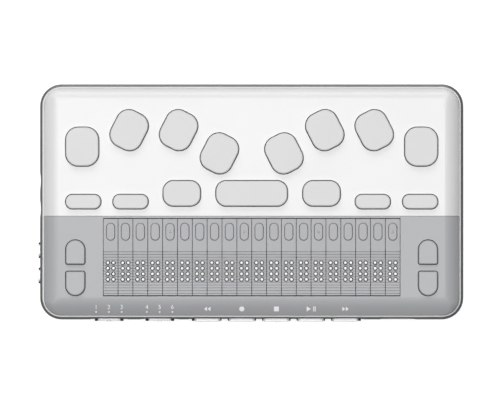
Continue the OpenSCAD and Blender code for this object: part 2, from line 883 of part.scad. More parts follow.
// Depth of the hollow at the place y along the reading surface
function hollow(y) =
    let (middle = dot_y - (dot_rows - 1) * dot_pitch / 2, t = (y - middle) / hollow_half)
    abs(t) < 1 ? hollow_h * (1 - t * t) : 0;

// Section of a cell cap along Y: legs below, grooves and hollow on top
module cap_section() {
    groove_ys = [for (n = [grooves_behind:-1:-grooves_before]) dot_y + n * dot_pitch / 2];
    leg_y = board_slot_y + 2 * fit;
    polygon(concat(
        [
            [line_front_y, cap_under_z],
            [leg_y, cap_under_z],
            [leg_y, board_z],
            [leg_y + 2 * cap_leg_t, board_z],
            [leg_y + 2 * cap_leg_t, cap_under_z],
            [line_rear_y - cap_leg_t, cap_under_z],
            [line_rear_y - cap_leg_t, board_z],
            [line_rear_y, board_z],
            [line_rear_y, cap_z]
        ],
        [for (y = groove_ys, p = [
            [y + groove_w / 2, cap_z - hollow(y)],
            [y, cap_z - hollow(y) - groove_h],
            [y - groove_w / 2, cap_z - hollow(y)]
        ]) p],
        [[line_front_y, cap_z]]
    ));
}

// Places of the eight dots of a cell
module at_dots() {
    for (x = [-0.5, 0.5], row = [0:dot_rows - 1])
        translate([x * dot_pitch, dot_y - row * dot_pitch, 0]) children();
}

module cell_caps() color(DECK_GREY) {
    cap_w = cell_pitch - cell_gap;
    for (i = [1:cell_count]) at_cell(i) difference() {
        rotate([90, 0, 90]) linear_extrude(cap_w, center = true) cap_section();
        translate([0, routing_y, cap_under_z - over]) linear_extrude(far)
            round_rect(routing_w + 2 * routing_gap, routing_d + 2 * routing_gap,
                       routing_w / 2 + routing_gap - loose);
        at_dots() translate([0, 0, cap_under_z - over])
            cylinder(d = pin_hole_d, h = cap_h + 2 * over);
    }
}

// Top of the reed below a row of dots
function reed_top(row) = reed_z - row * reed_step;

// A braille pin with a domed tip, from the height low to the height high
module pin(low, high) {
    tip = 0.35;
    tip_r = (pow(pin_d / 2, 2) + tip * tip) / (2 * tip);
    rotate_extrude() intersection() {
        translate([0, low]) square([pin_d / 2, high - low]);
        union() {
            translate([0, low]) square([pin_d / 2, high - low - tip]);
            translate([0, high - tip_r]) circle(tip_r);
        }
    }
}

module braille_pins() color("white") {
    high = cap_z - hollow_h + pin_rise;
    for (i = [1:cell_count]) at_cell(i)
        for (x = [-0.5, 0.5], row = [0:dot_rows - 1])
            translate([x * dot_pitch, dot_y - row * dot_pitch, 0])
                pin(reed_top(row) + pin_rise + press_air, high);
}

module cell_actuators() color("#c8b27a") for (i = [1:cell_count]) at_cell(i) {
    head_rear_y = dot_y + guide_margin;
    head_d = (dot_rows - 1) * dot_pitch + 2 * guide_margin;
    head_front_y = head_rear_y - head_d;
    guide_z = cap_under_z - guide_h;
    guide_w = cell_pitch - 2 * cell_gap;
    spine_h = reed_z + clear - spine_z;
    // Frame: guide head, spine between the two columns of reeds, and rear clamp
    difference() {
        union() {
            translate([-guide_w / 2, head_front_y, guide_z]) cube([guide_w, head_d, guide_h]);
            translate([-spine_t / 2, head_front_y, spine_z])
                cube([spine_t, head_d, guide_z + sink - spine_z]);
            translate([-spine_t / 2, head_front_y, spine_z])
                cube([spine_t, reed_rear_y - head_front_y + sink, spine_h]);
            translate([-guide_w / 2, reed_rear_y, spine_z]) cube([guide_w, clamp_d, spine_h]);
        }
        at_dots() translate([0, 0, guide_z - over])
            cylinder(d = pin_d + 2 * guide_gap, h = guide_h + 2 * over);
    }
    // Reeds, the shortest at the top
    for (x = [-1, 1], row = [0:dot_rows - 1]) {
        reed_front_y = dot_y - row * dot_pitch - reed_over;
        translate([x * (spine_t / 2 + fit + reed_w / 2) - reed_w / 2, reed_front_y,
                   reed_top(row) - reed_t])
            cube([reed_w, reed_rear_y - reed_front_y - loose, reed_t]);
    }
}

// Inside

// A dome switch of radius r on the board
module dome(r) {
    translate([0, 0, board_z - weld]) cylinder(r = r, h = dome_h + weld);
}

// A switch body under the front of the board, w wide
module front_switch(w) {
    translate([-w / 2, switch_front_y, board_under_z - switch_h])
        cube([w, switch_d, switch_h + weld]);
}

// A socket hung under the board: w wide and d deep, from the height low, with its front on y = 0
module socket(w, d, low) {
    translate([-w / 2, 0, low]) cube([w, d, board_under_z + weld - low]);
}

module main_board() color("#2f6b45") difference() {
    union() {
        difference() {
            translate([-board_x, board_front_y, board_under_z])
                cube([2 * board_x, board_rear_y - board_front_y, board_t]);
            translate([-line_w / 2 - slot_side, line_front_y - sink, board_under_z - over])
                cube([line_w + 2 * slot_side, board_slot_y - line_front_y + sink, board_t + 2 * over]);
        }
        for (k = DOT_KEYS) at_dot_key(k) dome(dome_r);
        for (k = THUMB_KEYS) at_thumb_key(k) dome(dome_r);
        for (k = FUNCTION_KEYS) at_function_key(k) dome(dome_r);
        for (k = SCROLL_KEYS) at_scroll_key(k) translate([0, scroll_d / 2, 0]) dome(dome_r);
        for (i = [1:cell_count]) at_cell(i) translate([0, routing_y, 0]) dome(routing_dome_r);
        for (b = MEDIA_BUTTONS) translate([b[1], 0, 0]) front_switch(media_switch_w);
        for (s = SWITCHES) translate([s[1], 0, 0]) front_switch(slide_switch_w);
        for (b = VOLUME_BUTTONS) translate([-board_x, b[1], 0]) rotate([0, 0, -90])
            socket(volume_switch_w, switch_d, board_under_z - switch_h);
        // Audio jacks with their round noses, charging port and card socket
        for (y = JACK_YS) {
            translate([jack_x, y, 0]) rotate([0, 0, -90])
                socket(jack_w, nose_x + jack_depth + socket_wall - jack_x, control_z - jack_w / 2);
            translate([nose_x, y, control_z]) rotate([0, 90, 0]) {
                cylinder(d = plug_d - 2 * fit, h = frame_t - nose_in - loose);
                cylinder(d = jack_neck_d, h = jack_x - nose_x + weld);
            }
        }
        translate([port_x, rear_y - frame_t - socket_gap, 0]) rotate([0, 0, 180])
            socket(port_w, port_d, control_z - port_h / 2);
        translate([card_x, front_y + frame_t + socket_gap, 0])
            socket(card_w + 2 * socket_wall, card_d, control_z - card_h / 2 - socket_wall);
    }
    for (y = JACK_YS) translate([nose_x - over, y, control_z]) rotate([0, 90, 0])
        cylinder(d = jack_bore_d, h = jack_depth + over);
    translate([port_x, rear_y - frame_t - port_d + over, control_z]) rotate([-90, 0, 0])
        linear_extrude(far)
            round_rect(port_w - socket_wall, port_h - socket_wall, port_h / 2 - socket_wall);
    translate([card_x - card_w / 2, front_y, control_z - card_h / 2])
        cube([card_w, frame_t + socket_gap + card_d - over, card_h]);
}

module battery_pack() color("#39424e")
    translate([-battery_w / 2, battery_front_y, floor_z]) cube([battery_w, battery_d, battery_h]);

module case_screws() color("#8c8f92")
    for (x = [-boss_x, boss_x], y = boss_ys) translate([x, y, 0]) {
        translate([0, 0, screw_head_z - screw_head_t]) difference() {
            cylinder(d = screw_head_d, h = screw_head_t);
            translate([0, 0, -over]) cylinder(d = hex_d, h = hex_h + over, $fn = 6);
        }
        translate([0, 0, screw_head_z - weld])
            cylinder(d = screw_d, h = thread_end_z - screw_head_z + weld - screw_short);
    }

module rubber_feet() color("#2b2c2e")
    for (x = [-foot_x, foot_x], y = [-foot_y, foot_y])
        translate([x, y, 0]) cylinder(d = foot_d, h = foot_proud + foot_pocket);

// Keys, buttons and switches

module dot_key(k) color(KEY_GREY) at_dot_key(k) key(key_w, key_d, key_r);
module thumb_key(k) color(KEY_GREY) at_thumb_key(k) key(k[2], thumb_d, thumb_r);
module function_key(k) color(KEY_GREY) at_function_key(k) key(function_w, function_d, function_r);

module scroll_key(k) color(DECK_GREY) at_scroll_key(k) {
    translate([0, 0, key_lip_z])
        soft_d_block(scroll_w, scroll_d, top_z + scroll_proud - key_lip_z, scroll_r, key_edge);
    translate([0, -lip, key_lip_z]) linear_extrude(key_lip_t)
        d_outline(scroll_w + 2 * lip, scroll_d + 2 * lip, scroll_r + lip);
    translate([0, scroll_d / 2, 0])
        plunger(key_lip_z, board_z + dome_h + press_air + scroll_travel, plunger_r);
}

module routing_key(i) color(DECK_GREY) at_cell(i) translate([0, routing_y, 0]) {
    lip_z = cap_under_z - clear - lip;
    lip_w = lip / 2;
    end_r = routing_w / 2 - loose;
    top = cap_z + routing_proud;
    translate([0, 0, lip_z]) soft_block(routing_w, routing_d, top - lip_z, end_r, routing_edge);
    translate([0, 0, lip_z]) linear_extrude(lip)
        round_rect(routing_w + 2 * lip_w, routing_d + 2 * lip_w, end_r + lip_w);
    plunger(lip_z, board_z + dome_h + press_air + routing_travel, routing_plunger_r);
    if (i % nib_every == 0) translate([0, 0, top]) nib();
}

// A small locating nib, standing on z = 0
module nib() {
    translate([0, 0, -weld]) cylinder(d1 = 1.1, d2 = 0.75, h = 0.3 + weld);
}

// A square bar on a button's middle, from y to end behind the frame's front
module stem(y, end) {
    translate([-stem_w / 2, y, control_z - stem_w / 2]) cube([stem_w, end - y, stem_w]);
}

// A button through the frame's front with its holding lip and its stem
module front_button(w, h, r, end) {
    root_y = button_lip_y + sink;
    translate([0, root_y, control_z]) rotate([90, 0, 0])
        soft_block(w, h, control_proud + root_y, r, control_edge);
    translate([0, button_lip_y, control_z]) rotate([-90, 0, 0])
        linear_extrude(button_lip_t) round_rect(w + 2 * lip, h + 2 * lip - fit, r + lip / 2);
    stem(root_y, end);
}

module media_button(b) color(BRIGHT) translate([b[1], front_y, 0]) {
    front_button(media_w, media_h, media_r, switch_front_y - front_y - press_air - button_travel);
    if (b[0] == "stop_button")
        translate([0, -control_proud, control_z]) rotate([90, 0, 0]) nib();
}

module volume_button(b) color(BRIGHT) translate([-body_w / 2, b[1], 0]) rotate([0, 0, -90])
    front_button(volume_w, volume_h, volume_r, body_w / 2 - board_x - press_air - button_travel);

module slide_switch(s) color(BRIGHT) translate([s[1], front_y, 0]) {
    root_y = button_lip_y + sink;
    rib = 0.6;
    rib_h = slider_h - 2 * control_edge;
    rib_proud = 0.3;
    cover_w = slider_w + 4 * slider_travel + 2 * control_gap;
    translate([0, root_y, control_z]) rotate([90, 0, 0])
        soft_block(slider_w, slider_h, control_proud - rib_proud + root_y, slider_r, control_edge);
    for (n = [-1, 0, 1])
        translate([2 * n * rib - rib / 2, -control_proud, control_z - rib_h / 2])
            cube([rib, rib_proud + sink, rib_h]);
    translate([-cover_w / 2, button_lip_y, control_z - slider_h / 2 - lip])
        cube([cover_w, button_lip_t - weld, slider_h + 2 * lip]);
    stem(root_y, switch_front_y - front_y - clear);
}

top_cover();
display_deck();
trim_ring();
side_frame();
bottom_cover();
cell_caps();
braille_pins();
cell_actuators();
main_board();
battery_pack();
case_screws();
rubber_feet();
for (k = DOT_KEYS) dot_key(k);
for (k = THUMB_KEYS) thumb_key(k);
for (k = FUNCTION_KEYS) function_key(k);
for (k = SCROLL_KEYS) scroll_key(k);
for (i = [1:cell_count]) routing_key(i);
for (b = MEDIA_BUTTONS) media_button(b);
for (s = SWITCHES) slide_switch(s);
for (b = VOLUME_BUTTONS) volume_button(b);
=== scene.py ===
"""Looks of a slim braille display with a braille keyboard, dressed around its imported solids.

Sizes and places are written in millimetres in the part's own frame: +X to the right, +Y to the
rear and +Z up, with the table at z = 0. Blender works in metres, so MM turns one into the other.
"""

import json
import math

import bmesh
import bpy
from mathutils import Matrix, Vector
from mathutils.bvhtree import BVHTree


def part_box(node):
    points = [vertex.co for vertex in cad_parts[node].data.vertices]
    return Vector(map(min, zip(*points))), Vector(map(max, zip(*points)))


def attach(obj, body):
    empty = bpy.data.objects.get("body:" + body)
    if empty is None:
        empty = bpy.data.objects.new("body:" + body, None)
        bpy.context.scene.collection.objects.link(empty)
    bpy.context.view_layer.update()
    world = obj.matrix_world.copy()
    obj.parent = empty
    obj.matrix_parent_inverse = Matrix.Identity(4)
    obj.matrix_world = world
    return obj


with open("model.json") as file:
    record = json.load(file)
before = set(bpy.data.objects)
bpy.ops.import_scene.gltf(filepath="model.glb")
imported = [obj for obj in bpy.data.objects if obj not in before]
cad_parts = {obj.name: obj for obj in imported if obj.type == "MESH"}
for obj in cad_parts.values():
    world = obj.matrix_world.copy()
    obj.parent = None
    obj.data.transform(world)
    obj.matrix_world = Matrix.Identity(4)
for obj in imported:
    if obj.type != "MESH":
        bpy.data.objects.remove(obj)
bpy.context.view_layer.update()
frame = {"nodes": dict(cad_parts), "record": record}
MM = 0.001

# The photograph: its width in pixels, the size of a pixel on the top of the object, and the place
# on the object that its middle shows
PHOTO_W = 495
PIXEL = 0.431
VIEW_X = -1.81
VIEW_Y = 0.82
TOP_Z = 18.2

# The camera: its height, how far it sees and the width of its sensor
CAMERA_Z = 3000
CAMERA_REACH = 10000
SENSOR = 36

# Studio light: a large soft panel above, a little to the rear and the left, another low at the
# rear, and weak strips at the left and the front, with their powers in watts
PANEL_AT = (-350, 260, 3500)
PANEL_SIZE = (2500, 2500)
PANEL_POWER = 126
REAR_AT = (-400, 2600, 1500)
REAR_SIZE = (2600, 1400)
REAR_POWER = 48
LEFT_AT = (-1500, 100, 300)
LEFT_SIZE = (500, 1600)
LEFT_POWER = 0.5
FRONT_AT = (0, -1600, 500)
FRONT_SIZE = (1600, 500)
FRONT_POWER = 3
BLACK = (0, 0, 0, 1)

# The pale floor, and the glow just above it
FLOOR_TONE = (0.45, 0.45, 0.45)
FLOOR_HALF = 4000
GLOW_Z = 0.02
GLOW = 0.8

# The mix node's colour sockets
SOCKET_A = 6
SOCKET_B = 7
SOCKET_RESULT = 2

# The part of the noise's range that tone and gloss are spread over
NOISE_LOW = 0.3
NOISE_HIGH = 0.7

# Moulded plastic: the size of the slow drift in tone, the detail of drift and grain, and how far
# the roughness strays
DRIFT_SIZE = 24
DRIFT_DETAIL = 2.0
GRAIN_DETAIL = 4.0
ROUGHNESS_SPREAD = 0.04

# Brushed metal: the lines' fineness per metre along X, Y and Z, their detail and depth, and how
# far tone and roughness stray
LINE_SCALE = (400, 400, 9000)
LINE_DETAIL = 2.0
LINE_DEPTH = 0.001
METAL_TONE_SPREAD = 0.03
METAL_ROUGHNESS_SPREAD = 0.05

# Where the covers' curved edges meet, and how far the shading blends them
CORNER_X = 82
CORNER_Y = 40
CORNER_BLEND = 2.4
CORNER_SAMPLES = 8

# Heights below which the keys and the cell caps carry painted shade inside their gaps, and its
# colour
KEY_PAINTED_SHADE_Z = 16.9
CELL_PAINTED_SHADE_Z = 17.5
PAINTED_SHADE_COLOUR = (0.03, 0.03, 0.03, 1)

# The main board's outline, underside and gloss
BOARD_X = 84.2
BOARD_Y = 46.7
BOARD_UNDER_Z = 11.3
BOARD_ROUGHNESS = 0.35

# Printed films on the front slope: how far they stand proud, their thickness, the width of the
# strips that follow the slope, how near points are joined, and a height above the whole object
# from which the slope is found
MARK_PROUD = 0.02
MARK_T = 0.05
MARK_STRIP = 0.3
MARK_WELD = 0.001
ABOVE_Z = 1000

# The signs of the media buttons
MEDIA_MARK_Y = -46.16
RECORD_D = 2.2
STOP_W = 2.1
ARROW_W = 1.26
ARROW_H = 1.96
ARROW_STEP = 1.5
PLAY_W = 1.84
PLAY_H = 2.2
PLAY_DX = -0.95
BAR_W = 0.4
BAR_DX = (1.2, 1.85)
DISC_SIDES = 28

# The dots and numbers of the slide switches
SWITCH_DOT_Y = -47.45
SWITCH_DOT_D = 0.8
SWITCH_DOT_STEP = 5.5
SWITCH_NUMBER_Y = -45.3
NUMBER_H = 1.8

# Moving caps in the side frame
SLIDERS = ("lock_switch", "mode_switch")
MEDIA_BUTTONS = ("previous_button", "record_button", "stop_button", "play_button", "next_button")
VOLUME_BUTTONS = ("volume_up_button", "volume_down_button")
CONTROL_Z = 9.0
SLIDER_W = 10.0
MEDIA_W = 11.1
VOLUME_W = 4.8
SCOOP_H = 0.45

# Dark blocks of painted shade at the ends of the caps, standing in for the shade in the openings
SHADE_BLOCK_H = 2.4
SHADE_BLOCK_OUT = 0.7
SHADE_BLOCK_SUNK = 0.1
SHADE_BLOCK_AIR = 0.08
SLIDER_SHADE_BLOCK = 1.2
SLIDER_SHADE_BLOCK_IN = 0.25
MEDIA_SHADE_BLOCK = 0.5
MEDIA_END_SHADE_BLOCK = 1.1
VOLUME_SHADE_BLOCK = 0.9
VOLUME_SHADE_BLOCK_OUT = 0.75

# Dark blocks of painted shade in the grooves between the ribs of the sliders' grips
GRIP_STEP = 0.6
GRIP_SHADE_W = 0.56
GRIP_SHADE_H = 1.7
GRIP_SHADE_OUT = 0.87
GRIP_SHADE_SUNK = 0.55

# Soft edges of small boxes
BOX_EDGE = 0.1
BOX_EDGE_STEPS = 2

# Sockets: places of the audio jacks and the charging port, and what lies in them
JACK_YS = (9.1, -2.9)
JACK_IN = 0.65
RING_INNER = 1.85
RING_OUTER = 2.5
RING_T = 0.16
RING_SOFT = RING_T / 3
RING_SIDES = 48
RING_SHARP = 50
PORT_X = 68
TONGUE_W = 6.6
TONGUE_H = 0.7
TONGUE_REAR = 4
TONGUE_FRONT = 9.5


# Materials

def new_material(name):
    """A node material, its links and principled shader, and a function that adds nodes to it."""
    material = bpy.data.materials.new(name)
    material.use_nodes = True
    tree = material.node_tree
    shader = tree.nodes["Principled BSDF"]

    def add(kind, **settings):
        node = tree.nodes.new("ShaderNode" + kind)
        for key, value in settings.items():
            if key in node.inputs:
                node.inputs[key].default_value = value
            else:
                setattr(node, key, value)
        return node

    return material, tree.links, shader, add


def shade(colour, factor=1):
    """An opaque colour, made lighter or darker by a factor."""
    return tuple(min(1.0, c * factor) for c in colour) + (1.0,)


def feed(links, socket, value):
    """Links a node's output to a socket, or sets the socket to a plain value."""
    if isinstance(value, bpy.types.NodeSocket):
        links.new(value, socket)
    else:
        socket.default_value = value


def combine(links, add, operation, first, second):
    """The result of a calculation with two values, each a number or a node's output."""
    node = add("Math", operation=operation)
    feed(links, node.inputs[0], first)
    feed(links, node.inputs[1], second)
    return node.outputs["Value"]


def mix_colours(links, add, first, second, factor):
    """The first colour where the factor is 0, and the second where it is 1."""
    node = add("Mix", data_type="RGBA")
    feed(links, node.inputs[SOCKET_A], first)
    feed(links, node.inputs[SOCKET_B], second)
    links.new(factor, node.inputs["Factor"])
    return node.outputs[SOCKET_RESULT]


def object_noise(links, add, size_mm, detail):
    """Noise in the object's own space whose features measure about size_mm."""
    coords = add("TexCoord")
    noise = add("TexNoise", Scale=1 / (size_mm * MM), Detail=detail)
    links.new(coords.outputs["Object"], noise.inputs["Vector"])
    return noise.outputs["Fac"]


def vary_colour(links, add, colour, factor, spread):
    """A colour that wanders by spread to each side of the given one."""
    ramp = add("ValToRGB")
    low, high = ramp.color_ramp.elements
    low.position = NOISE_LOW
    high.position = NOISE_HIGH
    low.color = shade(colour, 1 - spread)
    high.color = shade(colour, 1 + spread)
    links.new(factor, ramp.inputs["Fac"])
    return ramp.outputs["Color"]


def vary_roughness(links, add, shader, roughness, factor, spread):
    """Gives a shader a roughness that wanders by spread to each side of the given one."""
    span = add("MapRange")
    span.inputs["From Min"].default_value = NOISE_LOW
    span.inputs["From Max"].default_value = NOISE_HIGH
    span.inputs["To Min"].default_value = roughness - spread
    span.inputs["To Max"].default_value = roughness + spread
    links.new(factor, span.inputs["Value"])
    links.new(span.outputs["Result"], shader.inputs["Roughness"])


def grain_bump(links, add, shader, factor, height_mm, normal=None):
    """Gives a shader a fine relief on the surface's own normal, or on a given one."""
    bump = add("Bump", Strength=1.0, Distance=height_mm * MM)
    links.new(factor, bump.inputs["Height"])
    links.new(bump.outputs["Normal"], shader.inputs["Normal"])
    if normal:
        links.new(normal, bump.inputs["Normal"])


def beyond(links, add, axis, limit_mm):
    """1 where a place is farther than limit_mm from the frame's origin along an axis, or else 0."""
    coords = add("TexCoord")
    parts = add("SeparateXYZ")
    size = add("Math", operation="ABSOLUTE")
    links.new(coords.outputs["Object"], parts.inputs["Vector"])
    links.new(parts.outputs[axis], size.inputs[0])
    return combine(links, add, "GREATER_THAN", size.outputs["Value"], limit_mm * MM)


def corner_blend(links, add):
    """Normal that rolls over the line where two curved edges of a cover meet in a plan corner."""
    at_side = beyond(links, add, "X", CORNER_X)
    at_end = beyond(links, add, "Y", CORNER_Y)
    corner = combine(links, add, "MULTIPLY", at_side, at_end)
    radius = combine(links, add, "MULTIPLY", corner, CORNER_BLEND * MM)
    bevel = add("Bevel", samples=CORNER_SAMPLES)
    links.new(radius, bevel.inputs["Radius"])
    return bevel.outputs["Normal"]


def moulded(name, colour, roughness, grain=0.3, depth=0.003, spread=0.012, specular=0.5,
            cover=False, painted_shade_z=None):
    """Moulded plastic with fine grain and slow drift in tone.

    A cover's corners are blended, and a piece given a height is painted dark below it as shade in
    its gaps.
    """
    material, links, shader, add = new_material(name)
    shader.inputs["Specular IOR Level"].default_value = specular
    drift = object_noise(links, add, DRIFT_SIZE, DRIFT_DETAIL)
    fine = object_noise(links, add, grain, GRAIN_DETAIL)
    tone = vary_colour(links, add, colour, drift, spread)
    # Painted shade: dark colour below the given height, where the gaps round the piece are in shade
    if painted_shade_z:
        tone = mix_colours(links, add, PAINTED_SHADE_COLOUR, tone, beyond(links, add, "Z", painted_shade_z))
    links.new(tone, shader.inputs["Base Color"])
    vary_roughness(links, add, shader, roughness, fine, ROUGHNESS_SPREAD)
    grain_bump(links, add, shader, fine, depth, corner_blend(links, add) if cover else None)
    return material


def circuit_board(name, mask_colour, socket_colour):
    """Solder mask on the board itself, and dark plastic on the sockets under and beside it."""
    material, links, shader, add = new_material(name)
    at_side = beyond(links, add, "X", BOARD_X)
    at_end = beyond(links, add, "Y", BOARD_Y)
    beside = combine(links, add, "MAXIMUM", at_side, at_end)
    below = combine(links, add, "SUBTRACT", 1.0, beyond(links, add, "Z", BOARD_UNDER_Z))
    socket = combine(links, add, "MAXIMUM", beside, below)
    tone = mix_colours(links, add, shade(mask_colour), shade(socket_colour), socket)
    links.new(tone, shader.inputs["Base Color"])
    shader.inputs["Roughness"].default_value = BOARD_ROUGHNESS
    return material


def brushed(name, colour, roughness):
    """Metal with fine level lines."""
    material, links, shader, add = new_material(name)
    shader.inputs["Metallic"].default_value = 1.0
    coords = add("TexCoord")
    stretch = add("Mapping", Scale=LINE_SCALE)
    noise = add("TexNoise", Scale=1.0, Detail=LINE_DETAIL)
    links.new(coords.outputs["Object"], stretch.inputs["Vector"])
    links.new(stretch.outputs["Vector"], noise.inputs["Vector"])
    lines = noise.outputs["Fac"]
    tone = vary_colour(links, add, colour, lines, METAL_TONE_SPREAD)
    links.new(tone, shader.inputs["Base Color"])
    vary_roughness(links, add, shader, roughness, lines, METAL_ROUGHNESS_SPREAD)
    grain_bump(links, add, shader, lines, LINE_DEPTH)
    return material


MATERIALS = {
    "white_cover": moulded("white_plastic", (0.63, 0.63, 0.63), 0.36, cover=True),
    "key_grey": moulded("pale_key_plastic", (0.52, 0.52, 0.52), 0.42, painted_shade_z=KEY_PAINTED_SHADE_Z),
    "grey_deck": moulded("grey_deck_plastic", (0.339, 0.344, 0.355), 0.47, cover=True),
    "grey_cells": moulded("grey_cell_plastic", (0.286, 0.291, 0.303), 0.42, painted_shade_z=CELL_PAINTED_SHADE_Z),
    "grey_keys": moulded("grey_key_plastic", (0.287, 0.291, 0.304), 0.42),
    "white_pins": moulded("white_pin_plastic", (0.96, 0.96, 0.96), 0.3, grain=0.1, depth=0.001),
    "buttons": moulded("white_button_plastic", (0.93, 0.93, 0.935), 0.35),
    "frame": moulded(
        "dark_silver_frame", (0.09, 0.09, 0.093), 0.32, grain=0.12, depth=0.002, specular=0.9),
    "bright_trim": moulded("silver_trim", (0.5, 0.5, 0.51), 0.35, grain=0.1, depth=0.001),
    "base": moulded(
        "dark_base_plastic", (0.1, 0.102, 0.106), 0.5, grain=0.5, depth=0.012, spread=0.05),
    "feet": moulded(
        "black_rubber", (0.025, 0.025, 0.026), 0.75, grain=0.25, depth=0.01, spread=0.1),
    "screw_steel": brushed("dark_screw_steel", (0.2, 0.2, 0.21), 0.35),
    "board": circuit_board("solder_mask", (0.1, 0.102, 0.11), (0.015, 0.015, 0.016)),
    "battery": moulded("battery_sleeve", (0.04, 0.05, 0.07), 0.4, spread=0.1),
    "piezo": moulded("cell_frame_plastic", (0.02, 0.02, 0.022), 0.5, spread=0.05),
}
SCROLL_KEY = moulded("grey_scroll_plastic", (0.323, 0.328, 0.34), 0.42, painted_shade_z=KEY_PAINTED_SHADE_Z)
NICKEL = brushed("nickel", (0.6, 0.58, 0.55), 0.25)
PRINT_WHITE = moulded("white_print", (0.85, 0.85, 0.86), 0.5, grain=0.08, depth=0.001)


def dress_nodes():
    """Gives each solid the material of its slot, and the scroll keys their own lighter grey."""
    for row in frame["record"]["subparts"]:
        material = MATERIALS[row["material_slot"]]
        if row["node"].startswith("scroll"):
            material = SCROLL_KEY
        for slot in frame["nodes"][row["node"]].material_slots:
            slot.material = material


# Pieces

def link(obj):
    """Puts an object into the scene."""
    bpy.context.scene.collection.objects.link(obj)
    return obj


def add_piece(name, mesh, material, body):
    """Turns a bmesh in metres into a piece that rides a body."""
    bmesh.ops.recalc_face_normals(mesh, faces=mesh.faces)
    data = bpy.data.meshes.new(name)
    mesh.to_mesh(data)
    mesh.free()
    data.materials.append(material)
    piece = link(bpy.data.objects.new(name, data))
    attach(piece, body)
    return piece


def add_box(mesh, low, high):
    """A box with soft edges between two corners in millimetres."""
    made = bmesh.ops.create_cube(mesh, size=1.0)["verts"]
    for v in made:
        for i in range(3):
            v.co[i] = (low[i] if v.co[i] < 0 else high[i]) * MM
    edges = {e for v in made for e in v.link_edges}
    bmesh.ops.bevel(
        mesh, geom=list(edges), offset=BOX_EDGE * MM, segments=BOX_EDGE_STEPS, affect="EDGES")


def middle_x(node):
    """The middle of a node's box from left to right, in millimetres."""
    low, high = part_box(node)
    return (low[0] + high[0]) / 2 / MM


def middle_y(node):
    """The middle of a node's box from front to rear, in millimetres."""
    low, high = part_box(node)
    return (low[1] + high[1]) / 2 / MM


# Printed marks

def deck_surface():
    """A function that gives the height of the deck's top at a place in millimetres."""
    tree = BVHTree.FromObject(frame["nodes"]["display_deck"], bpy.context.evaluated_depsgraph_get())

    def height(x, y):
        start = Vector((x * MM, y * MM, ABOVE_Z * MM))
        hit = tree.ray_cast(start, Vector((0, 0, -1)))[0]
        return hit.z / MM

    return height


def lay_film(name, mesh, height):
    """Cuts a flat mesh into strips, lays them on the deck's slope and gives them a thickness."""
    ys = [v.co.y for v in mesh.verts]
    for i in range(1, math.ceil((max(ys) - min(ys)) / (MARK_STRIP * MM))):
        cut_y = min(ys) + i * MARK_STRIP * MM
        everything = mesh.verts[:] + mesh.edges[:] + mesh.faces[:]
        bmesh.ops.bisect_plane(mesh, geom=everything, plane_co=(0, cut_y, 0), plane_no=(0, 1, 0))
    for v in mesh.verts:
        v.co.z = (height(v.co.x / MM, v.co.y / MM) + MARK_PROUD) * MM
    tops = mesh.faces[:]
    copies = {}
    for v in mesh.verts[:]:
        copies[v] = mesh.verts.new(v.co - Vector((0, 0, MARK_T * MM)))
    rims = [e for e in mesh.edges if e.is_boundary]
    for face in tops:
        mesh.faces.new([copies[v] for v in reversed(face.verts)])
    for edge in rims:
        a, b = edge.verts
        mesh.faces.new((a, b, copies[b], copies[a]))
    add_piece(name, mesh, PRINT_WHITE, "case")


def lay_marks(name, outlines, height):
    """One thin printed film made of flat outlines in millimetres that follow the deck's slope."""
    mesh = bmesh.new()
    for outline in outlines:
        mesh.faces.new([mesh.verts.new((x * MM, y * MM, 0)) for x, y in outline])
    lay_film(name, mesh, height)


def lay_number(name, text, x, y, height):
    """A plain number in the built-in font, middled on x and y."""
    curve = bpy.data.curves.new(name, "FONT")
    curve.body = text
    letter = link(bpy.data.objects.new(name + "_curve", curve))
    flat = letter.evaluated_get(bpy.context.evaluated_depsgraph_get()).to_mesh()
    mesh = bmesh.new()
    mesh.from_mesh(flat)
    bpy.data.objects.remove(letter)
    bpy.data.curves.remove(curve)
    low = [min(v.co[i] for v in mesh.verts) for i in (0, 1)]
    high = [max(v.co[i] for v in mesh.verts) for i in (0, 1)]
    scale = NUMBER_H * MM / (high[1] - low[1])
    for v in mesh.verts:
        v.co.x = x * MM + (v.co.x - (low[0] + high[0]) / 2) * scale
        v.co.y = y * MM + (v.co.y - (low[1] + high[1]) / 2) * scale
    bmesh.ops.remove_doubles(mesh, verts=mesh.verts, dist=MARK_WELD * MM)
    lay_film(name, mesh, height)


def disc(x, y, radius):
    """The outline of a round dot."""
    turns = [2 * math.pi * i / DISC_SIDES for i in range(DISC_SIDES)]
    return [(x + radius * math.cos(a), y + radius * math.sin(a)) for a in turns]


def box_outline(x, y, width, depth):
    """The outline of a square or a bar."""
    return [
        (x - width / 2, y - depth / 2),
        (x + width / 2, y - depth / 2),
        (x + width / 2, y + depth / 2),
        (x - width / 2, y + depth / 2),
    ]


def arrow(x, y, width, depth, way):
    """A triangle that points right where way is 1 and left where it is -1."""
    points = [
        (x - way * width / 2, y - depth / 2),
        (x + way * width / 2, y),
        (x - way * width / 2, y + depth / 2),
    ]
    return points if way > 0 else points[::-1]


